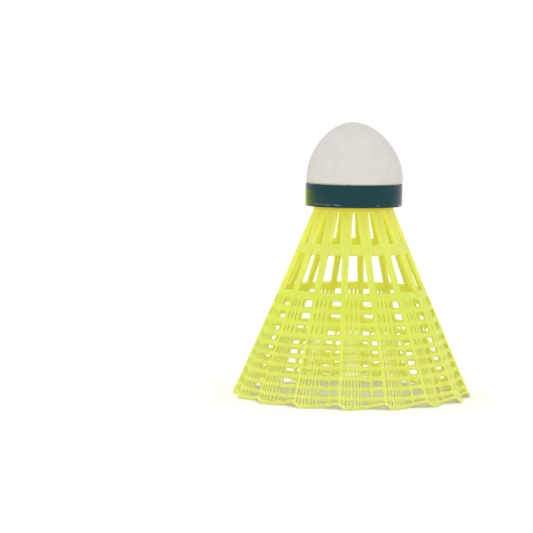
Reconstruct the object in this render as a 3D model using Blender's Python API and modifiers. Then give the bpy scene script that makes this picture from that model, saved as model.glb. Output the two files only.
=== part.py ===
"""Badminton shuttlecock: a moulded nylon skirt plugged into a covered cork head.

Metres, +Z up. The origin is on the shuttlecock's axis, in the plane that the feet of its hem
stand on. The skirt is a cone that widens downwards, and the head is the dome on top of it.
"""

import math

import bmesh
import bpy

MM = 0.001
GAP = 0.3 * MM  # left between parts that touch

# Driving dimensions
STEMS = 16
SECTOR = 2 * math.pi / STEMS
HEAD_TOP = 76.1 * MM
HEAD_FOOT = 52.9 * MM
NECK_Z = 52.3 * MM
TWIST = math.radians(4.1)  # how far the stems turn between the hem and the neck
TWIST_POWER = 2.5  # the turn is mostly near the neck

# The skirt's outer side, over the stems and the flutes' crests: height, and radius
PROFILE = (
    (60.0 * MM, 7.85 * MM),
    (43.0 * MM, 14.9 * MM),
    (34.0 * MM, 18.45 * MM),
    (27.0 * MM, 21.4 * MM),
    (20.0 * MM, 24.45 * MM),
    (14.0 * MM, 27.1 * MM),
    (8.0 * MM, 29.9 * MM),
    (0.0, 33.25 * MM),
)
# Heights, each with the wall's thickness, and with a stem's stand over the wall
WALLS = (
    (60.0 * MM, 1.75 * MM),
    (43.1 * MM, 1.65 * MM),
    (39.8 * MM, 1.3 * MM),
    (30.2 * MM, 1.0 * MM),
    (28.1 * MM, 0.75 * MM),
    (26.0 * MM, 0.65 * MM),
    (0.0, 0.65 * MM),
)
RIBS = ((60.0 * MM, 0.25 * MM), (39.8 * MM, 0.25 * MM), (26.0 * MM, 0.15 * MM), (0.0, 0.15 * MM))

FLUTE_DEPTH = 2.7 * MM  # crest to valley, at the hem
FLUTE_TOP_Z = 25.5 * MM
FLUTE_CREST = 0.14  # share of a sector from its stem to the crest
FLUTE_SHARPNESS = 1.3  # above 1, the crests are narrower
ROW_SAG = 0.28  # how far a row drops in a valley, as a share of the flute's depth there

# The hem's outline: a share of the sector, and its height. It fades out at HEM_TOP.
HEM_OUTLINE = (
    (0.98, 1.4 * MM),
    (0.92, 1.4 * MM),
    (0.80, 0.95 * MM),
    (0.66, 0.18 * MM),
    (0.50, 0.0),
    (0.13, 0.0),
    (-0.06, 1.4 * MM),
)
HEM_TOP = 2.4 * MM

# Columns between two stems, as shares of the free span from one stem to the next
CREST_COLUMN = 0.18
WINDOW_COLUMN = 0.49  # the wall before this column is finely slotted, and solid here
HIGH_WINDOW_COLUMN = 0.57  # the same in the upper rows of mesh
VALLEY_COLUMN = 0.68
HIGH_ROWS_Z = 18.5 * MM
COLUMNS_PER_SECTOR = 5
STEM_COLUMNS = (0, 1)

# Levels, from the neck down: each window's top and foot
NECK_WINDOW = (51.3 * MM, 43.1 * MM)
THROAT_WINDOW = (39.8 * MM, 30.2 * MM)
HIGH_ROWS = ((27.85 * MM, 26.15 * MM), (24.5 * MM, 22.75 * MM), (21.15 * MM, 19.4 * MM))
LOW_ROWS = (
    (17.9 * MM, 16.3 * MM),
    (15.3 * MM, 13.6 * MM),
    (12.8 * MM, 11.1 * MM),
    (10.2 * MM, 8.6 * MM),
    (7.6 * MM, 5.9 * MM),
    (5.1 * MM, 3.4 * MM),
    (2.5 * MM, 1.2 * MM),
)
SHEET_TOP = 52.1 * MM  # the wall ends here, inside the collar

# Stem width against height, and the share of it that is left on the skirt's inner side
STEM_WIDTHS = (
    (60.0 * MM, 3.7 * MM),
    (51.3 * MM, 3.7 * MM),
    (43.1 * MM, 3.4 * MM),
    (39.8 * MM, 2.15 * MM),
    (30.2 * MM, 2.0 * MM),
    (28.1 * MM, 1.5 * MM),
    (21.0 * MM, 1.1 * MM),
    (0.0, 0.95 * MM),
)
STEM_TAPERS = (
    (60.0 * MM, 0.75),
    (43.1 * MM, 0.75),
    (39.8 * MM, 0.95),
    (30.2 * MM, 0.82),
    (28.1 * MM, 1.0),
    (0.0, 1.0),
)

# Collar and spigot, which are moulded in one piece with the skirt
COLLAR_FOOT = 51.2 * MM
COLLAR_TOP = HEAD_FOOT - GAP
COLLAR_SINK = 0.1 * MM  # how far the collar lies under the stems' outer side
COLLAR_BORE = 9.6 * MM
DISC = 1.0 * MM  # the floor that closes the skirt under the head
SPIGOT_RADIUS = 6.0 * MM
SPIGOT_BORE = 4.9 * MM
BARB = 0.45 * MM
BARB_PITCH = 3.0 * MM
SPIGOT_TOP = 62.4 * MM

# Head
BAND_TOP = 59.1 * MM
BAND_RADIUS = 13.5 * MM
BAND_THICKNESS = 0.25 * MM
COVER_RADIUS = 13.4 * MM
COVER_THICKNESS = 0.35 * MM
DOME_FOOT = 61.0 * MM
DOME_FLATTENING = 1.75  # exponents of the dome's rounded outline
DOME_FULLNESS = 1.85
CORK_RADIUS = BAND_RADIUS - BAND_THICKNESS - COVER_THICKNESS - 2 * GAP
CORK_TOP = HEAD_TOP - COVER_THICKNESS - GAP
CORK_JOINT = 63.9 * MM
PIN_RADIUS = 1.75 * MM
PIN_LENGTH = 5.0 * MM

YELLOW = (0.72, 0.86, 0.05)
OFF_WHITE = (0.82, 0.79, 0.75)
DARK_GREEN = (0.02, 0.09, 0.09)
CORK_BROWN = (0.52, 0.34, 0.18)
STEEL_GREY = (0.5, 0.5, 0.52)


# Scene, collections and materials


def clear_scene():
    for obj in list(bpy.data.objects):
        bpy.data.objects.remove(obj, do_unlink=True)


def new_collection(name):
    collection = bpy.data.collections.new(name)
    bpy.context.scene.collection.children.link(collection)
    return collection


def principled(name, colour, roughness, metallic=0.0):
    material = bpy.data.materials.new(name)
    material.use_nodes = True
    shader = material.node_tree.nodes["Principled BSDF"]
    shader.inputs["Base Color"].default_value = (*colour, 1.0)
    shader.inputs["Roughness"].default_value = roughness
    shader.inputs["Metallic"].default_value = metallic
    return material


def object_from_bmesh(name, bm, collection, material=None):
    mesh = bpy.data.meshes.new(name)
    bm.to_mesh(mesh)
    bm.free()
    obj = bpy.data.objects.new(name, mesh)
    collection.objects.link(obj)
    if material:
        mesh.materials.append(material)
    return obj


def add_boolean(obj, other, operation):
    modifier = obj.modifiers.new(operation.title(), "BOOLEAN")
    modifier.operation = operation
    modifier.solver = "EXACT"
    modifier.object = other
    return modifier


# Turned shapes


def profile_mesh(points, closed):
    """A chain of (radius, height) points, as edges in the XZ plane."""
    bm = bmesh.new()
    verts = [bm.verts.new((radius, 0.0, height)) for radius, height in points]
    pairs = list(zip(verts, verts[1:]))
    if closed:
        pairs.append((verts[-1], verts[0]))
    for start, end in pairs:
        bm.edges.new((start, end))
    return bm


def turned(name, points, steps, collection, material=None, closed=True):
    """A profile turned about Z. Its points run down the outer side and back up the inner one."""
    obj = object_from_bmesh(name, profile_mesh(points, closed), collection, material)
    screw = obj.modifiers.new("Screw", "SCREW")
    screw.steps = steps
    screw.render_steps = steps
    screw.use_merge_vertices = True
    screw.merge_threshold = 0.00001
    screw.use_smooth_shade = True
    return obj


def dome_radius(z, radius, top):
    """The head's outline: a straight side, then a rounded dome that ends at top."""
    share = min(1.0, max(0.0, (z - DOME_FOOT) / (top - DOME_FOOT)))
    return radius * (1.0 - share**DOME_FLATTENING) ** (1.0 / DOME_FULLNESS)


def dome_outline(radius, top, bottom, points):
    """Points down the dome's side, from just below its apex to bottom, closer near the apex."""
    outline = []
    for i in range(1, points + 1):
        angle = math.pi / 2 * i / points
        z = bottom + (top - bottom) * math.cos(angle)
        outline.append((dome_radius(z, radius, top), z))
    return outline


# Skirt


def read_off(table, key):
    """A value between a table's rows, whose keys run downwards."""
    for (high_key, high), (low_key, low) in zip(table, table[1:]):
        if key >= low_key:
            return low + (high - low) * (key - low_key) / (high_key - low_key)
    return table[-1][1]


def flute_share(share):
    """0 on a crest, 1 in a valley."""
    return 1.0 - abs(math.cos(math.pi * (share - FLUTE_CREST))) ** FLUTE_SHARPNESS


def flute(z, share):
    """How far the wall lies inside the cone over the crests."""
    return FLUTE_DEPTH * max(0.0, 1.0 - z / FLUTE_TOP_Z) * flute_share(share)


def row_height(z, share):
    """A level's height: it follows the hem's outline at the hem, and sags in the valleys above."""
    above_hem = min(1.0, z / HEM_TOP)
    outline = read_off(HEM_OUTLINE, share) * (1.0 - above_hem)
    return z + outline - ROW_SAG * flute(z, share) * flute_share(share) * above_hem


def column_shares(z, outer):
    """Where one sector's columns stand, as shares of the sector after its stem's middle."""
    half_stem = read_off(STEM_WIDTHS, z) / 2 / read_off(PROFILE, z) / SECTOR
    window = HIGH_WINDOW_COLUMN if z > HIGH_ROWS_Z else WINDOW_COLUMN
    span = 1.0 - 2.0 * half_stem
    between = [half_stem + span * column for column in (CREST_COLUMN, window, VALLEY_COLUMN)]
    if not outer:
        half_stem *= read_off(STEM_TAPERS, z)
    return [-half_stem, half_stem, *between]


def skirt_point(z, column, outer):
    """Where a column crosses a level, on the skirt's inner or outer side."""
    sector, place = divmod(column, COLUMNS_PER_SECTOR)
    share = column_shares(z, outer)[place]
    angle = (sector + share) * SECTOR - TWIST * (z / NECK_Z) ** TWIST_POWER
    radius = read_off(PROFILE, z) - flute(z, share)
    if not outer:
        radius -= read_off(RIBS, z) + read_off(WALLS, z)
    elif place not in STEM_COLUMNS:
        radius -= read_off(RIBS, z)
    return radius * math.cos(angle), radius * math.sin(angle), row_height(z, share)


def skirt_levels():
    edges = [SHEET_TOP, *NECK_WINDOW, *THROAT_WINDOW]
    for row in (*HIGH_ROWS, *LOW_ROWS):
        edges.extend(row)
    return [*edges, 0.0]


def open_cells(top):
    """The cells of a sector, counted from its stem, that the window below this level opens."""
    if top in (NECK_WINDOW[0], THROAT_WINDOW[0]):
        return (1, 2, 3, 4)
    if top in [row[0] for row in (*HIGH_ROWS, *LOW_ROWS)]:
        return (3, 4)
    return ()


def skirt_grid(levels):
    """A flat grid, one unit a cell, with its windows open and its columns and levels numbered."""
    rows = len(levels) - 1
    columns = STEMS * COLUMNS_PER_SECTOR
    bm = bmesh.new()
    bmesh.ops.create_grid(bm, x_segments=columns, y_segments=rows, size=0.5)
    column_of = bm.verts.layers.int.new("column")
    level_of = bm.verts.layers.int.new("level")
    for vert in bm.verts:
        vert[column_of] = round((vert.co.x + 0.5) * columns)
        vert[level_of] = round((0.5 - vert.co.y) * rows)
    windows = []
    for face in bm.faces:
        column = min(vert[column_of] for vert in face.verts)
        level = min(vert[level_of] for vert in face.verts)
        if column % COLUMNS_PER_SECTOR in open_cells(levels[level]):
            windows.append(face)
    bmesh.ops.delete(bm, geom=windows, context="FACES")
    return bm, column_of, level_of


def skirt_lattice():
    """The skirt's wall: the grid laid round the axis, then given its outer side."""
    levels = skirt_levels()
    bm, column_of, level_of = skirt_grid(levels)
    for vert in bm.verts:
        vert.co = skirt_point(levels[vert[level_of]], vert[column_of], outer=False)
    bmesh.ops.remove_doubles(bm, verts=bm.verts, dist=0.00001)
    extruded = bmesh.ops.extrude_face_region(bm, geom=bm.faces[:], use_keep_orig=True)
    for item in extruded["geom"]:
        if isinstance(item, bmesh.types.BMVert):
            item.co = skirt_point(levels[item[level_of]], item[column_of], outer=True)
    bmesh.ops.recalc_face_normals(bm, faces=bm.faces)
    return bm


def collar_points():
    """Collar, disc and barbed spigot in half section, from the disc's top to its underside."""
    points = [(0.0, COLLAR_TOP), (SPIGOT_BORE, COLLAR_TOP)]
    points += [(SPIGOT_BORE, SPIGOT_TOP), (SPIGOT_RADIUS, SPIGOT_TOP)]
    z = SPIGOT_TOP
    while z - BARB_PITCH > COLLAR_TOP:
        points.append((SPIGOT_RADIUS + BARB, z - BARB_PITCH * 0.7))
        points.append((SPIGOT_RADIUS, z - BARB_PITCH * 0.8))
        z -= BARB_PITCH
    points.append((SPIGOT_RADIUS, COLLAR_TOP))
    points.append((read_off(PROFILE, COLLAR_TOP) - COLLAR_SINK, COLLAR_TOP))
    points.append((read_off(PROFILE, COLLAR_FOOT) - COLLAR_SINK, COLLAR_FOOT))
    points.append((COLLAR_BORE, COLLAR_FOOT))
    points.append((COLLAR_BORE, COLLAR_TOP - DISC))
    points.append((0.0, COLLAR_TOP - DISC))
    return points


def make_skirt(collection, tools, material):
    skirt = object_from_bmesh("skirt", skirt_lattice(), collection, material)
    collar = turned("collar_and_spigot", collar_points(), 48, tools, closed=False)
    collar.hide_render = True
    collar.display_type = "WIRE"
    add_boolean(skirt, collar, "UNION")
    return skirt


# Head


def make_cork(collection, material):
    """Two layers of cork: a drilled base and a domed crown."""
    bore = SPIGOT_RADIUS + BARB + GAP
    base_top = CORK_JOINT - GAP / 2
    base = [(bore, base_top)]
    for z in (base_top, DOME_FOOT, HEAD_FOOT):
        base.append((dome_radius(z, CORK_RADIUS, CORK_TOP), z))
    base.append((bore, HEAD_FOOT))
    turned("cork_base", base, 32, collection, material)

    crown_foot = CORK_JOINT + GAP / 2
    hole = PIN_RADIUS + GAP
    hole_top = crown_foot + PIN_LENGTH + 2 * GAP
    crown = [(0.0, CORK_TOP), *dome_outline(CORK_RADIUS, CORK_TOP, crown_foot, 7)]
    crown += [(hole, crown_foot), (hole, hole_top), (0.0, hole_top)]
    turned("cork_crown", crown, 32, collection, material, closed=False)


def make_ballast_pin(collection, material):
    foot = CORK_JOINT + GAP / 2 + GAP
    bm = bmesh.new()
    bmesh.ops.create_cone(
        bm,
        cap_ends=True,
        segments=16,
        radius1=PIN_RADIUS,
        radius2=PIN_RADIUS,
        depth=PIN_LENGTH,
    )
    pin = object_from_bmesh("ballast_pin", bm, collection, material)
    pin.location.z = foot + PIN_LENGTH / 2
    return pin


def make_head_cover(collection, material):
    """A thin moulded skin over the dome, stepped in where the band covers its lower edge."""
    under_band = BAND_RADIUS - BAND_THICKNESS - GAP
    step_top = BAND_TOP + 2 * GAP
    outline = [(0.0, HEAD_TOP), *dome_outline(COVER_RADIUS, HEAD_TOP, DOME_FOOT, 8)]
    outline.append((COVER_RADIUS, step_top))
    outline.append((under_band, BAND_TOP + GAP))
    outline.append((under_band, HEAD_FOOT))
    cover = turned("head_cover", outline, 48, collection, material, closed=False)
    skin = cover.modifiers.new("Solidify", "SOLIDIFY")
    skin.thickness = COVER_THICKNESS
    skin.offset = -1.0
    return cover


def make_colour_band(collection, material):
    inner = BAND_RADIUS - BAND_THICKNESS
    points = [(inner, BAND_TOP), (BAND_RADIUS, BAND_TOP), (BAND_RADIUS, HEAD_FOOT), (inner, HEAD_FOOT)]
    return turned("colour_band", points, 48, collection, material)


def main():
    clear_scene()
    parts = new_collection("shuttlecock")
    tools = new_collection("cutters")
    nylon = principled("fluorescent_nylon", YELLOW, 0.35)
    cork = principled("cork", CORK_BROWN, 0.8)
    make_skirt(parts, tools, nylon)
    make_cork(parts, cork)
    make_ballast_pin(parts, principled("steel", STEEL_GREY, 0.3, 1.0))
    make_head_cover(parts, principled("cover_skin", OFF_WHITE, 0.6))
    make_colour_band(parts, principled("band_tape", DARK_GREEN, 0.2))


main()
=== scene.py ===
"""The shuttlecock's looks: a finely slotted nylon skirt, a leather-grained cover and a glossy band.

Metres, +Z up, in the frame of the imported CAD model. Places come from that model's boxes. A share
is a fraction of one sector, counted from the middle of its stem towards the next stem.
"""

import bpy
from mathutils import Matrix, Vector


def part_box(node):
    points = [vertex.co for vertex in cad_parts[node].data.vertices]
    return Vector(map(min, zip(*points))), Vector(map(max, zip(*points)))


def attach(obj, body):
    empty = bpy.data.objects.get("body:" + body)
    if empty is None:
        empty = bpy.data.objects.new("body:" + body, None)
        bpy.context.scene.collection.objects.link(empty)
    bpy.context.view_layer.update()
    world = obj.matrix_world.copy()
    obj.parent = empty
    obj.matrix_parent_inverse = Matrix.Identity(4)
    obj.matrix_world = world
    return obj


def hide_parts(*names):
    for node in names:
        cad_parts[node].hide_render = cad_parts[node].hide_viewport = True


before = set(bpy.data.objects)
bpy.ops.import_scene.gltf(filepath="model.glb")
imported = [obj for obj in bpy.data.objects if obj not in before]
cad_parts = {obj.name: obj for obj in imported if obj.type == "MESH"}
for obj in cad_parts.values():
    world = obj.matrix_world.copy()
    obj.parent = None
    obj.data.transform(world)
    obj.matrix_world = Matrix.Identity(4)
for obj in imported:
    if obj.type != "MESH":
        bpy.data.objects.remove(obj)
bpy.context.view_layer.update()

import math

import bmesh
import bpy
from mathutils import Matrix, Vector, noise

MM = 0.001

SKIRT_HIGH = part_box("skirt")[1]
BAND_LOW, BAND_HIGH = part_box("colour_band")
COVER_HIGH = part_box("head_cover")[1]
HEAD_FOOT = BAND_LOW.z
BAND_TOP = BAND_HIGH.z
BAND_RADIUS = BAND_HIGH.x
HEAD_TOP = COVER_HIGH.z

# Skirt: a cone with sixteen stems, fluted towards its hem
STEMS = 16
SECTOR = 2 * math.pi / STEMS
NECK_Z = HEAD_FOOT - 0.6 * MM
TWIST = math.radians(4.1)  # how far the stems turn between the hem and the neck
TWIST_POWER = 2.5  # the turn is mostly near the neck
FLUTE_DEPTH = 2.7 * MM  # crest to valley, at the hem
FLUTE_TOP_Z = 25.5 * MM
FLUTE_CREST = 0.14
FLUTE_SHARPNESS = 1.3  # above 1, the crests are narrower
ROW_SAG = 0.28  # how far a row drops in a valley, as a share of the flute's depth there

# The skirt's side over the stems and crests: height, and radius before the edges are rounded
PROFILE = (
    (0.0, SKIRT_HIGH.x + 0.4 * MM),
    (8.0 * MM, 30.0 * MM),
    (14.0 * MM, 27.35 * MM),
    (20.0 * MM, 24.75 * MM),
    (27.0 * MM, 21.65 * MM),
    (34.0 * MM, 18.6 * MM),
    (43.0 * MM, 14.95 * MM),
    (53.0 * MM, 10.75 * MM),
)
# Heights from the top down, each with the wall's thickness and a stem's stand over the wall
WALLS = (
    (60.0 * MM, 1.75 * MM),
    (43.1 * MM, 1.65 * MM),
    (39.8 * MM, 1.3 * MM),
    (30.2 * MM, 1.0 * MM),
    (28.1 * MM, 0.75 * MM),
    (26.0 * MM, 0.65 * MM),
)
RIBS = ((60.0 * MM, 0.25 * MM), (39.8 * MM, 0.25 * MM), (26.0 * MM, 0.1 * MM))

# Each window's top and foot, from the neck down to the hem
NECK_WINDOW = (51.3 * MM, 43.1 * MM)
THROAT_WINDOW = (39.8 * MM, 30.2 * MM)
HIGH_ROWS = ((27.85 * MM, 26.15 * MM), (24.5 * MM, 22.75 * MM), (21.15 * MM, 19.4 * MM))
LOW_ROWS = (
    (17.9 * MM, 16.3 * MM),
    (15.3 * MM, 13.6 * MM),
    (12.8 * MM, 11.1 * MM),
    (10.2 * MM, 8.6 * MM),
    (7.6 * MM, 5.9 * MM),
    (5.1 * MM, 3.4 * MM),
    (2.5 * MM, 1.2 * MM),
)
SHEET_TOP = HEAD_FOOT - 0.8 * MM
CORNER = 0.7 * MM  # how far a long window's extra levels stand from its ends

# The hem's outline: a share of the sector, and its height. It fades out at HEM_TOP.
HEM_OUTLINE = (
    (-0.02, 1.4 * MM),
    (0.13, 0.0),
    (0.50, 0.0),
    (0.66, 0.18 * MM),
    (0.80, 0.95 * MM),
    (0.92, 1.4 * MM),
    (0.98, 1.4 * MM),
)
HEM_TOP = 2.4 * MM

# Stem width against height, and the share of it that is left on the skirt's inner side
STEM_WIDTHS = (
    (60.0 * MM, 3.7 * MM),
    (51.3 * MM, 3.7 * MM),
    (43.1 * MM, 3.4 * MM),
    (39.8 * MM, 2.15 * MM),
    (30.2 * MM, 2.0 * MM),
    (28.1 * MM, 1.5 * MM),
    (21.0 * MM, 1.05 * MM),
    (0.0, 0.9 * MM),
)
STEM_TAPERS = (
    (60.0 * MM, 0.75),
    (43.1 * MM, 0.75),
    (39.8 * MM, 0.95),
    (30.2 * MM, 0.82),
    (28.1 * MM, 1.0),
)
STEM_CROWN = 0.55  # half width of a stem's flat crown, as a share of its half width
STEM_CLEARANCE = 0.004  # the least share between a stem and a column beside it

# Columns between two stems. Low rows: six slots from the stem's edge, then two windows.
LOW_SLOTS = 6
LOW_SLOT_FIRST = 0.0425
LOW_SLOT_PITCH = 0.0765
LOW_SLOT_WIDTH = 0.0245
LOW_WINDOWS = (0.485, 0.59, 0.69, 0.76, 0.86)
WINDOW_START = 0.47  # from this share on, a low row's windows stand in from its top and foot
WINDOW_INSETS = {"top": -0.2 * MM, "middle": 0.0, "foot": 0.3 * MM, "": 0.0}
THREAD_DIP = 0.1 * MM  # how far the threads between the slots lie below the hoops
# High rows: three slots, with two spare columns between them, then one window
HIGH_SLOTS = 3
HIGH_SLOT_FIRST = 0.078
HIGH_SLOT_PITCH = 0.145
HIGH_SLOT_WIDTH = 0.045
HIGH_SPARES = (0.035, 0.065)
HIGH_WINDOW = (0.525, 0.60, 0.68, 0.76, 0.84, 0.915)
STEM_COLUMNS = 4
COLUMNS = 20  # in one sector

# How much of an edge's sharpness is kept when the lattice is rounded
MESH_CORNER = 0.27
LONG_CORNER = 0.1
RIM = 0.18

# Collar, disc and spigot, in half section
SPIGOT_RADIUS = 6.0 * MM
SPIGOT_BORE = 4.9 * MM
BARB = 0.45 * MM
BARBS = 3
BARB_PITCH = 3.0 * MM
COLLAR_HEIGHT = 1.4 * MM
COLLAR_BORE = 9.8 * MM  # at the collar's foot, under the disc
DISC_THICKNESS = 1.0 * MM
COLLAR_STEPS = 128

# Head
DOME_FOOT = 61.0 * MM  # the dome curves in above this height
DOME_RISE = 1.75
DOME_ROUNDNESS = 1.85
DOME_RINGS = 30
LEAN_FOOT = 0.12 * MM
LEAN_TOP = 0.55 * MM
COVER_THICKNESS = 0.35 * MM
BAND_THICKNESS = 0.25 * MM
BAND_EDGE = 0.06 * MM
HEAD_STEPS = 160
PEBBLE = 0.62 * MM  # one grain of the leather


# Small tools


def link(name, mesh, material):
    obj = bpy.data.objects.new(name, mesh)
    bpy.context.scene.collection.objects.link(obj)
    if material:
        mesh.materials.append(material)
    return obj


def object_from_bmesh(name, bm, material):
    mesh = bpy.data.meshes.new(name)
    bm.to_mesh(mesh)
    bm.free()
    mesh.shade_smooth()
    return link(name, mesh, material)


def frozen(obj, name):
    """The object with its modifiers applied, under a new name."""
    graph = bpy.context.evaluated_depsgraph_get()
    mesh = bpy.data.meshes.new_from_object(obj.evaluated_get(graph), depsgraph=graph)
    mesh.name = name
    bpy.data.objects.remove(obj)
    piece = bpy.data.objects.new(name, mesh)
    bpy.context.scene.collection.objects.link(piece)
    return piece


def turned(name, points, steps, material, closed):
    """A profile of (radius, height) points turned about Z, down its outer side."""
    bm = bmesh.new()
    verts = [bm.verts.new((radius, 0.0, z)) for radius, z in points]
    pairs = list(zip(verts, verts[1:]))
    if closed:
        pairs.append((verts[-1], verts[0]))
    for pair in pairs:
        bm.edges.new(pair)
    bmesh.ops.spin(
        bm,
        geom=bm.verts[:] + bm.edges[:],
        axis=(0, 0, 1),
        cent=(0, 0, 0),
        steps=steps,
        angle=2 * math.pi,
        use_merge=True,
    )
    bmesh.ops.remove_doubles(bm, verts=bm.verts, dist=1e-6)
    bmesh.ops.recalc_face_normals(bm, faces=bm.faces)
    return object_from_bmesh(name, bm, material)


# Skirt


def read_off(table, key):
    """A value between a table's rows, which run up or down in their first column."""
    rows = sorted(table)
    if key <= rows[0][0]:
        return rows[0][1]
    for (low_key, low), (high_key, high) in zip(rows, rows[1:]):
        if key <= high_key:
            return low + (high - low) * (key - low_key) / (high_key - low_key)
    return rows[-1][1]


def skirt_radius(z):
    return read_off(PROFILE, z)


def flute_share(share):
    """0 on a crest, 1 in a valley."""
    return 1.0 - abs(math.cos(math.pi * (share - FLUTE_CREST))) ** FLUTE_SHARPNESS


def flute(z, share):
    """How far the wall lies inside the cone over the crests."""
    return FLUTE_DEPTH * max(0.0, 1.0 - z / FLUTE_TOP_Z) * flute_share(share)


def row_height(level, share):
    """A level's height: it follows the hem's outline at the hem, and sags in the valleys above."""
    share = (share + 0.02) % 1.0 - 0.02
    above_hem = min(1.0, level.z / HEM_TOP)
    outline = read_off(HEM_OUTLINE, share) * (1.0 - above_hem)
    sag = ROW_SAG * flute(level.z, share) * flute_share(share) * above_hem
    inset = WINDOW_INSETS[level.edge] if share > WINDOW_START else 0.0
    return level.z + outline - sag + inset


def stem_half_share(z):
    return read_off(STEM_WIDTHS, z) / 2 / skirt_radius(z) / SECTOR


def slot_edges(first, pitch, width, count):
    return [first + pitch * slot + side for slot in range(count) for side in (0.0, width)]


def low_columns():
    """The first slot starts at the stem's edge, which is a column already."""
    edges = slot_edges(LOW_SLOT_FIRST, LOW_SLOT_PITCH, LOW_SLOT_WIDTH, LOW_SLOTS)
    return edges[1:] + list(LOW_WINDOWS)


def high_columns():
    edges = slot_edges(HIGH_SLOT_FIRST, HIGH_SLOT_PITCH, HIGH_SLOT_WIDTH, HIGH_SLOTS)
    columns = []
    for left, right in zip(edges[0::2], edges[1::2]):
        columns += [left, right, right + HIGH_SPARES[0], right + HIGH_SPARES[1]]
    return columns[:-2] + list(HIGH_WINDOW)


def even_columns(half):
    count = COLUMNS - STEM_COLUMNS
    return [half + (1.0 - 2.0 * half) * (i + 1) / (count + 1) for i in range(count)]


def column_shares(z, tier, taper):
    """Where one sector's columns stand. The taper is the share left of its stem's width."""
    half = stem_half_share(z) * taper
    stem = [-half, -half * STEM_CROWN, half * STEM_CROWN, half]
    tiers = {"low": low_columns(), "high": high_columns(), "long": even_columns(half)}
    low, high = half + STEM_CLEARANCE, 1.0 - half - STEM_CLEARANCE
    return stem + [min(high, max(low, column)) for column in tiers[tier]]


# The cells of a sector that a window row opens, counted from its stem's first cell
OPEN_CELLS = {
    "long": range(3, 20),
    "high": (4, 8, 12, 14, 15, 16, 17, 18),
    "low": (3, 5, 7, 9, 11, 13, 15, 16, 18, 19),
}


class Level:
    """One level of the skirt's grid. Its edge names a low row's top, middle or foot."""

    def __init__(self, z, tier, has_window, edge=""):
        self.z = z
        self.tier = tier
        self.has_window = has_window
        self.edge = edge


def skirt_levels():
    """The grid's levels from the top down, each saying whether a window lies below it."""
    levels = [Level(SHEET_TOP, "long", False)]
    for top, foot in (NECK_WINDOW, THROAT_WINDOW):
        for z in (top, top - CORNER, (top + foot) / 2, foot + CORNER):
            levels.append(Level(z, "long", True))
        levels.append(Level(foot, "long", False))
    for top, foot in HIGH_ROWS:
        levels += [Level(top, "high", True), Level(foot, "high", False)]
    for top, foot in LOW_ROWS:
        levels.append(Level(top, "low", True, "top"))
        levels.append(Level((top + foot) / 2, "low", True, "middle"))
        levels.append(Level(foot, "low", False, "foot"))
    levels.append(Level(0.0, "low", False))
    return levels


def skirt_grid(levels):
    """A flat grid, one unit a cell, with its windows open and its columns numbered."""
    rows = len(levels) - 1
    columns = STEMS * COLUMNS
    bm = bmesh.new()
    bmesh.ops.create_grid(bm, x_segments=columns, y_segments=rows, size=0.5)
    column_of = bm.verts.layers.int.new("column")
    level_of = bm.verts.layers.int.new("level")
    for vert in bm.verts:
        vert[column_of] = round((vert.co.x + 0.5) * columns)
        vert[level_of] = round((0.5 - vert.co.y) * rows)
    windows = []
    for face in bm.faces:
        column = min(vert[column_of] for vert in face.verts)
        level = levels[min(vert[level_of] for vert in face.verts)]
        if level.has_window and column % COLUMNS in OPEN_CELLS[level.tier]:
            windows.append(face)
    bmesh.ops.delete(bm, geom=windows, context="FACES")
    return bm, column_of, level_of


def wall_depth(level, place):
    """The wall's thickness at a column: most on a stem's crown, least on a thread."""
    proud = {0: 0.5, 1: 1.0, 2: 1.0, 3: 0.5}
    depth = read_off(WALLS, level.z) + read_off(RIBS, level.z) * proud.get(place, 0.0)
    if level.edge == "middle" and place > 3:
        depth -= THREAD_DIP
    return depth


def skirt_place(level, column, outer):
    """Where a column crosses a level, on the skirt's inner or outer side."""
    sector, place = divmod(column, COLUMNS)
    taper = 1.0 if outer else read_off(STEM_TAPERS, level.z)
    share = column_shares(level.z, level.tier, taper)[place]
    angle = (sector + share) * SECTOR - TWIST * (level.z / NECK_Z) ** TWIST_POWER
    radius = skirt_radius(level.z) - read_off(RIBS, level.z) - read_off(WALLS, level.z)
    radius -= flute(level.z, share)
    if outer:
        radius += wall_depth(level, place)
    return radius * math.cos(angle), radius * math.sin(angle), row_height(level, share)


def wrap(bm, levels, column_of, level_of):
    """Lay the grid on the skirt's inner side."""
    for vert in bm.verts:
        vert.co = skirt_place(levels[vert[level_of]], vert[column_of], outer=False)


def thicken(bm, levels, column_of, level_of):
    """Stand the outer side off from the inner one."""
    outer = bm.verts.layers.int.new("outer")
    extruded = bmesh.ops.extrude_face_region(bm, geom=bm.faces[:], use_keep_orig=True)
    for item in extruded["geom"]:
        if isinstance(item, bmesh.types.BMVert):
            item.co = skirt_place(levels[item[level_of]], item[column_of], outer=True)
            item[outer] = 1
    return outer


def keep_edges(bm, levels, level_of, outer):
    """Keep part of the sharpness of the windows' corners and rims."""
    crease = bm.edges.layers.float.new("crease_edge")
    for edge in bm.edges:
        ends = {vert[outer] for vert in edge.verts}
        tier = levels[edge.verts[0][level_of]].tier
        if ends == {0, 1}:
            edge[crease] = LONG_CORNER if tier == "long" else MESH_CORNER
        elif any(len({vert[outer] for vert in face.verts}) == 2 for face in edge.link_faces):
            edge[crease] = RIM


def skirt_lattice(material):
    levels = skirt_levels()
    bm, column_of, level_of = skirt_grid(levels)
    wrap(bm, levels, column_of, level_of)
    bmesh.ops.remove_doubles(bm, verts=bm.verts, dist=1e-6)
    outer = thicken(bm, levels, column_of, level_of)
    keep_edges(bm, levels, level_of, outer)
    bmesh.ops.recalc_face_normals(bm, faces=bm.faces)
    lattice = object_from_bmesh("skirt_lattice", bm, material)
    rounding = lattice.modifiers.new("Subdivision", "SUBSURF")
    rounding.levels = 1
    rounding.render_levels = 1
    return lattice


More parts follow.
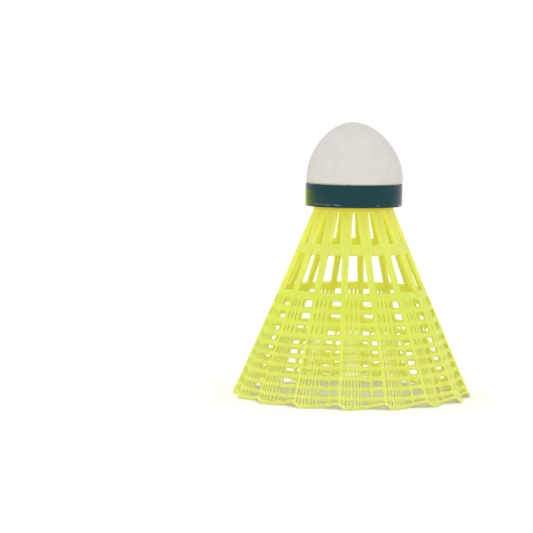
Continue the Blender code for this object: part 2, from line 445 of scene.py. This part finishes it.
def collar_points():
    """Collar, disc and barbed spigot in half section, from the disc's top to its underside."""
    top = HEAD_FOOT - 0.3 * MM
    spigot_top = SKIRT_HIGH.z
    spigot, barb, bore = SPIGOT_RADIUS, BARB, SPIGOT_BORE
    points = [(0.0, top), (bore, top), (bore, spigot_top - 0.2 * MM), (bore + 0.2 * MM, spigot_top)]
    points += [(spigot - 0.3 * MM, spigot_top), (spigot, spigot_top - 0.4 * MM)]
    for ring in range(BARBS):
        z = spigot_top - 2.1 * MM - BARB_PITCH * ring
        points += [(spigot + barb, z), (spigot + barb, z - 0.15 * MM), (spigot, z - 0.35 * MM)]
    points += [(spigot, top + 0.2 * MM), (spigot + 0.2 * MM, top)]
    foot = top - COLLAR_HEIGHT
    rim, lip = skirt_radius(top) - 0.06 * MM, HEAD_FOOT - 0.04 * MM
    points += [(rim - 1.2 * MM, top), (rim - MM, lip), (rim - 0.15 * MM, lip), (rim, lip - 0.1 * MM)]
    points += [(skirt_radius(foot) - 0.12 * MM, foot + 0.15 * MM), (skirt_radius(foot) - 0.3 * MM, foot)]
    under = top - DISC_THICKNESS
    points += [(COLLAR_BORE, foot), (COLLAR_BORE - 0.2 * MM, foot + 0.2 * MM)]
    points += [(COLLAR_BORE - 0.3 * MM, under - 0.05 * MM), (COLLAR_BORE - 0.5 * MM, under)]
    points.append((1.6 * MM, under))
    points += [(1.4 * MM, top - 0.8 * MM), (0.0, top - 0.8 * MM)]
    return points


def make_skirt(material):
    lattice = skirt_lattice(material)
    collar = turned("skirt_collar", collar_points(), COLLAR_STEPS, material, closed=False)
    union = lattice.modifiers.new("Union", "BOOLEAN")
    union.operation = "UNION"
    union.solver = "EXACT"
    union.object = collar
    skirt = frozen(lattice, "skirt_net")
    skirt.data.shade_smooth()
    bpy.data.objects.remove(collar)
    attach(skirt, "root")
    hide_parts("skirt")


# Head


def dome_radius(z, radius, top):
    share = min(1.0, max(0.0, (z - DOME_FOOT) / (top - DOME_FOOT)))
    return radius * (1.0 - share**DOME_RISE) ** (1.0 / DOME_ROUNDNESS)


def lean(z):
    """How far the dome leans to the side, most at its top."""
    share = max(0.0, (z - DOME_FOOT) / (HEAD_TOP - DOME_FOOT))
    return LEAN_FOOT - LEAN_TOP * share**2


def cover_outline():
    """The cover's outer side: the dome, a soft swell, and the edge tucked under the band."""
    radius = COVER_HIGH.x
    tucked = BAND_RADIUS - 0.55 * MM
    points = [(0.0, HEAD_TOP)]
    for ring in range(1, DOME_RINGS + 1):
        z = DOME_FOOT + (HEAD_TOP - DOME_FOOT) * math.cos(math.pi / 2 * ring / DOME_RINGS)
        points.append((dome_radius(z, radius, HEAD_TOP), z))
    points += [(radius + 0.02 * MM, 60.4 * MM), (radius, BAND_TOP + 0.7 * MM)]
    points += [(radius - 0.06 * MM, BAND_TOP + 0.35 * MM), (radius - 0.2 * MM, BAND_TOP + 0.1 * MM)]
    points += [(tucked, BAND_TOP - 0.3 * MM), (tucked, HEAD_FOOT + 0.05 * MM)]
    return points


def make_cover(material):
    cover = turned("cover_skin", cover_outline(), HEAD_STEPS, material, closed=False)
    for vert in cover.data.vertices:
        swell = noise.noise(vert.co / (6.0 * MM)) * 0.05 * MM
        swell += noise.noise(vert.co / (1.7 * MM)) * 0.015 * MM
        if vert.co.z > BAND_TOP:
            vert.co += vert.normal * swell
            vert.co.x += lean(vert.co.z)
    skin = cover.modifiers.new("Solidify", "SOLIDIFY")
    skin.thickness = COVER_THICKNESS
    skin.offset = -1.0
    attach(cover, "root")
    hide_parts("head_cover")


def make_band(material):
    inner = BAND_RADIUS - BAND_THICKNESS
    edge = BAND_EDGE
    points = [
        (inner, BAND_TOP),
        (BAND_RADIUS - edge, BAND_TOP),
        (BAND_RADIUS, BAND_TOP - edge),
        (BAND_RADIUS, HEAD_FOOT + edge),
        (BAND_RADIUS - edge, HEAD_FOOT),
        (inner, HEAD_FOOT),
    ]
    band = turned("band_tape", points, HEAD_STEPS, material, closed=True)
    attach(band, "root")
    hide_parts("colour_band")


# Materials


def new_material(name):
    material = bpy.data.materials.new(name)
    material.use_nodes = True
    return material, material.node_tree, material.node_tree.nodes["Principled BSDF"]


def add(tree, kind, inputs=None, **settings):
    """A new node. An input takes a value, or another node's output."""
    node = tree.nodes.new("ShaderNode" + kind)
    for key, value in settings.items():
        setattr(node, key, value)
    for key, value in (inputs or {}).items():
        if isinstance(value, bpy.types.NodeSocket):
            tree.links.new(value, node.inputs[key])
        else:
            node.inputs[key].default_value = value
    return node


def ramp(tree, factor, stops):
    """A colour ramp over (place, colour) stops."""
    node = add(tree, "ValToRGB", {"Fac": factor})
    elements = node.color_ramp.elements
    while len(elements) < len(stops):
        elements.new(1.0)
    for element, (place, colour) in zip(elements, stops):
        element.position = place
        element.color = (*colour, 1.0)
    return node.outputs["Color"]


def mix(tree, factor, first, second):
    node = add(tree, "Mix", {"Factor": factor}, data_type="RGBA")
    for socket, value in ((node.inputs[6], first), (node.inputs[7], second)):
        if isinstance(value, bpy.types.NodeSocket):
            tree.links.new(value, socket)
        else:
            socket.default_value = (*value, 1.0)
    return node.outputs[2]


def object_point(tree):
    return add(tree, "TexCoord").outputs["Object"]


def height_share(tree, point, low, high):
    """0 at the low height, 1 at the high one."""
    z = add(tree, "SeparateXYZ", {"Vector": point}).outputs["Z"]
    return add(tree, "MapRange", {0: z, 1: low, 2: high}).outputs[0]


def noise_texture(tree, point, size, detail):
    """Noise whose features are about the given size."""
    return add(tree, "TexNoise", {"Vector": point, "Scale": 1.0 / size, "Detail": detail}).outputs["Fac"]


def bump(tree, shader, height, strength, distance, under=None):
    inputs = {"Height": height, "Strength": strength, "Distance": distance}
    if under:
        inputs["Normal"] = under
    normal = add(tree, "Bump", inputs).outputs["Normal"]
    tree.links.new(normal, shader.inputs["Normal"])
    return normal


def radial_facing(tree, point):
    """1 where the surface faces away from the axis, -1 where it faces it."""
    flat = add(tree, "VectorMath", {0: point, 1: (1.0, 1.0, 0.0)}, operation="MULTIPLY")
    radial = add(tree, "VectorMath", {0: flat.outputs[0]}, operation="NORMALIZE")
    normal = add(tree, "NewGeometry").outputs["Normal"]
    dot = add(tree, "VectorMath", {0: radial.outputs[0], 1: normal}, operation="DOT_PRODUCT")
    return dot.outputs["Value"]


def nylon_material():
    """Clear yellow nylon: paler towards the hem as a painted sheen, more golden towards the collar, with
    painted light and shade on its inner and side faces and a painted glowing emission.
    """
    material, tree, shader = new_material("fluorescent_nylon")
    point = object_point(tree)
    height = height_share(tree, point, 0.0, HEAD_FOOT)
    # The outer side's colour: paler towards the hem as a painted sheen, and more golden towards the
    # collar.
    outside = ramp(
        tree,
        height,
        (
            (0.0, (0.655, 0.70, 0.15)),
            (0.2, (0.59, 0.66, 0.115)),
            (0.5, (0.505, 0.595, 0.078)),
            (0.66, (0.505, 0.56, 0.10)),
            (0.82, (0.505, 0.55, 0.11)),
            (0.94, (0.505, 0.52, 0.085)),
            (1.0, (0.52, 0.49, 0.07)),
        ),
    )
    # The inner side's colour is painted light: it stands in for the light that comes through the thin
    # wall and bounces inside the cone.
    inside = ramp(
        tree,
        height,
        (
            (0.0, (0.60, 0.62, 0.11)),
            (0.6, (0.61, 0.62, 0.12)),
            (0.8, (0.65, 0.65, 0.11)),
        ),
    )
    # The sides of the windows and slots: painted shade, darker from just above the hem to halfway up,
    # and painted light, brighter near the hem and at the neck.
    edges = ramp(
        tree,
        height,
        (
            (0.0, (0.64, 0.67, 0.14)),
            (0.05, (0.41, 0.46, 0.05)),
            (0.5, (0.41, 0.46, 0.05)),
            (0.58, (0.60, 0.63, 0.11)),
            (0.8, (0.61, 0.63, 0.10)),
            (1.0, (0.64, 0.63, 0.09)),
        ),
    )
    # The painted inner and side colours take over from the outer one by which way each surface faces.
    facing = radial_facing(tree, point)
    inward = add(tree, "MapRange", {0: facing, 1: 0.15, 2: -0.35}).outputs[0]
    slope = add(tree, "Math", {0: facing}, operation="ABSOLUTE").outputs[0]
    on_edge = add(tree, "MapRange", {0: slope, 1: 0.75, 2: 0.25}).outputs[0]
    colour = mix(tree, on_edge, mix(tree, inward, outside, inside), edges)
    cloud = noise_texture(tree, point, 5.0 * MM, 3.0)
    patchy = add(tree, "MapRange", {0: cloud, 1: 0.3, 2: 0.7, 3: 0.965, 4: 1.03}).outputs[0]
    colour = add(tree, "VectorMath", {0: colour, "Scale": patchy}, operation="SCALE").outputs[0]
    # Painted light: an emission that lifts the skirt's shade, weak at the hem and strongest at the
    # collar under the band's shadow.
    painted_glow = ramp(
        tree,
        height,
        (
            (0.0, (0.03, 0.034, 0.001)),
            (0.52, (0.045, 0.05, 0.006)),
            (0.72, (0.09, 0.095, 0.012)),
            (0.8, (0.12, 0.125, 0.014)),
            (0.95, (0.15, 0.145, 0.012)),
            (1.0, (0.28, 0.265, 0.014)),
        ),
    )
    grain = noise_texture(tree, point, 0.35 * MM, 2.0)
    rough = add(tree, "MapRange", {0: grain, 1: 0.3, 2: 0.7, 3: 0.40, 4: 0.52}).outputs[0]
    tree.links.new(colour, shader.inputs["Base Color"])
    tree.links.new(rough, shader.inputs["Roughness"])
    tree.links.new(painted_glow, shader.inputs["Emission Color"])
    shader.inputs["Emission Strength"].default_value = 1.0
    shader.inputs["Specular IOR Level"].default_value = 0.3
    shader.inputs["Subsurface Weight"].default_value = 1.0
    shader.inputs["Subsurface Radius"].default_value = (1.0, 0.97, 0.45)
    shader.inputs["Subsurface Scale"].default_value = 3.6 * MM
    waves = bump(tree, shader, noise_texture(tree, point, 2.2 * MM, 1.0), 0.25, 0.12 * MM)
    bump(tree, shader, grain, 0.2, 0.02 * MM, waves)
    return material


def cover_material():
    """Pale artificial leather with a fine pebbled grain."""
    material, tree, shader = new_material("cover_leather")
    point = object_point(tree)
    wobble = add(tree, "TexNoise", {"Vector": point, "Scale": 900.0, "Detail": 2.0}).outputs["Color"]
    shift = add(tree, "VectorMath", {0: wobble, "Scale": 0.35 * MM}, operation="SCALE").outputs[0]
    place = add(tree, "VectorMath", {0: point, 1: shift}, operation="ADD").outputs[0]
    cells = {"Vector": place, "Scale": 1.0 / PEBBLE}
    pebbles = add(tree, "TexVoronoi", cells, feature="DISTANCE_TO_EDGE")
    creases = add(tree, "MapRange", {0: pebbles.outputs["Distance"], 1: 0.0, 2: 0.22}).outputs[0]
    cloud = noise_texture(tree, point, 3.5 * MM, 4.0)
    tone = ramp(tree, cloud, ((0.3, (0.598, 0.572, 0.539)), (0.7, (0.645, 0.613, 0.582))))
    # Darker in the creases between the pebbles: painted shade.
    colour = mix(tree, creases, (0.51, 0.48, 0.445), tone)
    soften = mix(tree, 0.72, colour, tone)
    tree.links.new(soften, shader.inputs["Base Color"])
    rough = add(tree, "MapRange", {0: creases, 3: 0.75, 4: 0.58}).outputs[0]
    tree.links.new(rough, shader.inputs["Roughness"])
    shader.inputs["Specular IOR Level"].default_value = 0.25
    shader.inputs["Subsurface Weight"].default_value = 0.1
    shader.inputs["Subsurface Scale"].default_value = 0.5 * MM
    swell = bump(tree, shader, cloud, 0.3, 0.15 * MM)
    bump(tree, shader, creases, 0.55, 0.04 * MM, swell)
    return material


def band_material():
    """Dark green vinyl tape, glossy, with faint lengthwise streaks."""
    material, tree, shader = new_material("band_vinyl")
    point = object_point(tree)
    stretched = add(tree, "VectorMath", {0: point, 1: (1.0, 1.0, 9.0)}, operation="MULTIPLY").outputs[0]
    streaks = noise_texture(tree, stretched, 2.5 * MM, 3.0)
    colour = ramp(tree, streaks, ((0.3, (0.003, 0.034, 0.040)), (0.7, (0.005, 0.044, 0.050))))
    # Pale specks near the band's foot are painted highlights: they stand in for glints on small wrinkles
    # in the tape's lower edge.
    z = add(tree, "SeparateXYZ", {"Vector": point}).outputs["Z"]
    near_foot = add(tree, "MapRange", {0: z, 1: HEAD_FOOT + MM, 2: HEAD_FOOT + 0.5 * MM}).outputs[0]
    glint_noise = noise_texture(tree, stretched, 4.5 * MM, 4.0)
    glint_spots = add(tree, "MapRange", {0: glint_noise, 1: 0.61, 2: 0.65}).outputs[0]
    painted_glints = add(tree, "Math", {0: near_foot, 1: glint_spots}, operation="MULTIPLY").outputs[0]
    tape_with_glints = mix(tree, painted_glints, colour, (0.24, 0.33, 0.33))
    tree.links.new(tape_with_glints, shader.inputs["Base Color"])
    rough = add(tree, "MapRange", {0: streaks, 1: 0.3, 2: 0.7, 3: 0.10, 4: 0.18}).outputs[0]
    tree.links.new(rough, shader.inputs["Roughness"])
    shader.inputs["Specular IOR Level"].default_value = 0.17
    bump(tree, shader, noise_texture(tree, point, 1.4 * MM, 2.0), 0.15, 0.05 * MM)
    return material


def cork_material():
    """Granules of cork bark pressed together, each of its own tone, with dark pores."""
    material, tree, shader = new_material("pressed_cork")
    point = object_point(tree)
    granules = add(tree, "TexVoronoi", {"Vector": point, "Scale": 1.0 / (1.3 * MM)})
    tone = add(tree, "SeparateColor", {"Color": granules.outputs["Color"]}).outputs[0]
    colour = ramp(
        tree,
        tone,
        (
            (0.0, (0.30, 0.17, 0.08)),
            (0.5, (0.50, 0.31, 0.16)),
            (1.0, (0.62, 0.42, 0.25)),
        ),
    )
    pores = noise_texture(tree, point, 0.4 * MM, 4.0)
    dark = add(tree, "MapRange", {0: pores, 1: 0.34, 2: 0.44}).outputs[0]
    tree.links.new(mix(tree, dark, (0.09, 0.045, 0.02), colour), shader.inputs["Base Color"])
    shader.inputs["Roughness"].default_value = 0.85
    seams = bump(tree, shader, granules.outputs["Distance"], 0.4, 0.15 * MM)
    bump(tree, shader, pores, 0.5, 0.1 * MM, seams)
    return material


def steel_material():
    """Turned steel, with fine rings left by the tool."""
    material, tree, shader = new_material("turned_steel")
    point = object_point(tree)
    stretched = add(tree, "VectorMath", {0: point, 1: (1.0, 1.0, 25.0)}, operation="MULTIPLY").outputs[0]
    rings = noise_texture(tree, stretched, 1.5 * MM, 4.0)
    rough = add(tree, "MapRange", {0: rings, 1: 0.3, 2: 0.7, 3: 0.22, 4: 0.42}).outputs[0]
    tree.links.new(rough, shader.inputs["Roughness"])
    tone = ramp(tree, rings, ((0.3, (0.46, 0.45, 0.44)), (0.7, (0.60, 0.59, 0.58))))
    tree.links.new(tone, shader.inputs["Base Color"])
    shader.inputs["Metallic"].default_value = 1.0
    bump(tree, shader, rings, 0.2, 0.02 * MM)
    return material


def dress_cad_node(name, material):
    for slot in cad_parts[name].material_slots:
        slot.material = material


# Stage, light and camera


def make_stage():
    bm = bmesh.new()
    bmesh.ops.create_grid(bm, x_segments=1, y_segments=1, size=40.0)
    floor = object_from_bmesh("floor", bm, None)
    material, _, shader = new_material("floor_paper")
    shader.inputs["Base Color"].default_value = (0.96, 0.96, 0.96, 1.0)
    shader.inputs["Roughness"].default_value = 0.9
    shader.inputs["Emission Color"].default_value = (1.0, 1.0, 1.0, 1.0)
    shader.inputs["Emission Strength"].default_value = 0.05
    floor.data.materials.append(material)


def make_reflector():
    """A yellow board that the band's gloss mirrors, in the place of a second shuttlecock."""
    bm = bmesh.new()
    bmesh.ops.create_grid(bm, x_segments=1, y_segments=1, size=0.5)
    board = object_from_bmesh("yellow_board", bm, None)
    board.scale = (62.0 * MM, 90.0 * MM, 1.0)
    board.rotation_euler = (0.0, math.radians(90.0), 0.0)
    board.location = (-48.0 * MM, 41.0 * MM, 31.0 * MM)
    board.visible_camera = False
    board.visible_diffuse = False
    board.visible_transmission = False
    board.visible_shadow = False
    material, _, shader = new_material("board_paper")
    shader.inputs["Base Color"].default_value = (0.65, 0.82, 0.05, 1.0)
    shader.inputs["Emission Color"].default_value = (0.65, 0.82, 0.05, 1.0)
    shader.inputs["Emission Strength"].default_value = 1.0
    board.data.materials.append(material)


def make_sun(name, direction, strength, softness):
    """A distant soft light that shines along a direction."""
    light = bpy.data.lights.new(name, "SUN")
    light.energy = strength
    light.angle = math.radians(softness)
    lamp = bpy.data.objects.new(name, light)
    lamp.visible_glossy = False
    bpy.context.scene.collection.objects.link(lamp)
    lamp.rotation_euler = Vector(direction).to_track_quat("-Z", "Y").to_euler()


def make_lights():
    world = bpy.data.worlds.new("studio")
    bpy.context.scene.world = world
    world.use_nodes = True
    background = world.node_tree.nodes["Background"]
    background.inputs["Color"].default_value = (1.0, 1.0, 1.0, 1.0)
    background.inputs["Strength"].default_value = 1.0
    make_sun("key", (-0.05, 0.93, -0.37), 0.7, 50.0)


def make_camera():
    azimuth = math.radians(5.55)
    distance, height = 0.673, 0.0886
    camera = bpy.data.cameras.new("camera")
    camera.lens = 163.5
    camera.sensor_width = 36.0
    camera.clip_start = 0.05
    camera.clip_end = 100.0
    obj = bpy.data.objects.new("camera", camera)
    bpy.context.scene.collection.objects.link(obj)
    obj.location = (distance * math.sin(azimuth), -distance * math.cos(azimuth), height)
    turn = Matrix.Rotation(azimuth + math.radians(2.05), 4, "Z")
    pitch = Matrix.Rotation(math.radians(90.0 - 4.5), 4, "X")
    roll = Matrix.Rotation(math.radians(0.6), 4, "Z")
    obj.rotation_euler = (turn @ pitch @ roll).to_euler()
    bpy.context.scene.camera = obj


def main():
    bpy.context.scene.view_settings.view_transform = "Standard"
    make_camera()
    make_stage()
    make_reflector()
    make_lights()
    make_skirt(nylon_material())
    make_cover(cover_material())
    make_band(band_material())
    cork = cork_material()
    dress_cad_node("cork_base", cork)
    dress_cad_node("cork_crown", cork)
    dress_cad_node("ballast_pin", steel_material())


main()
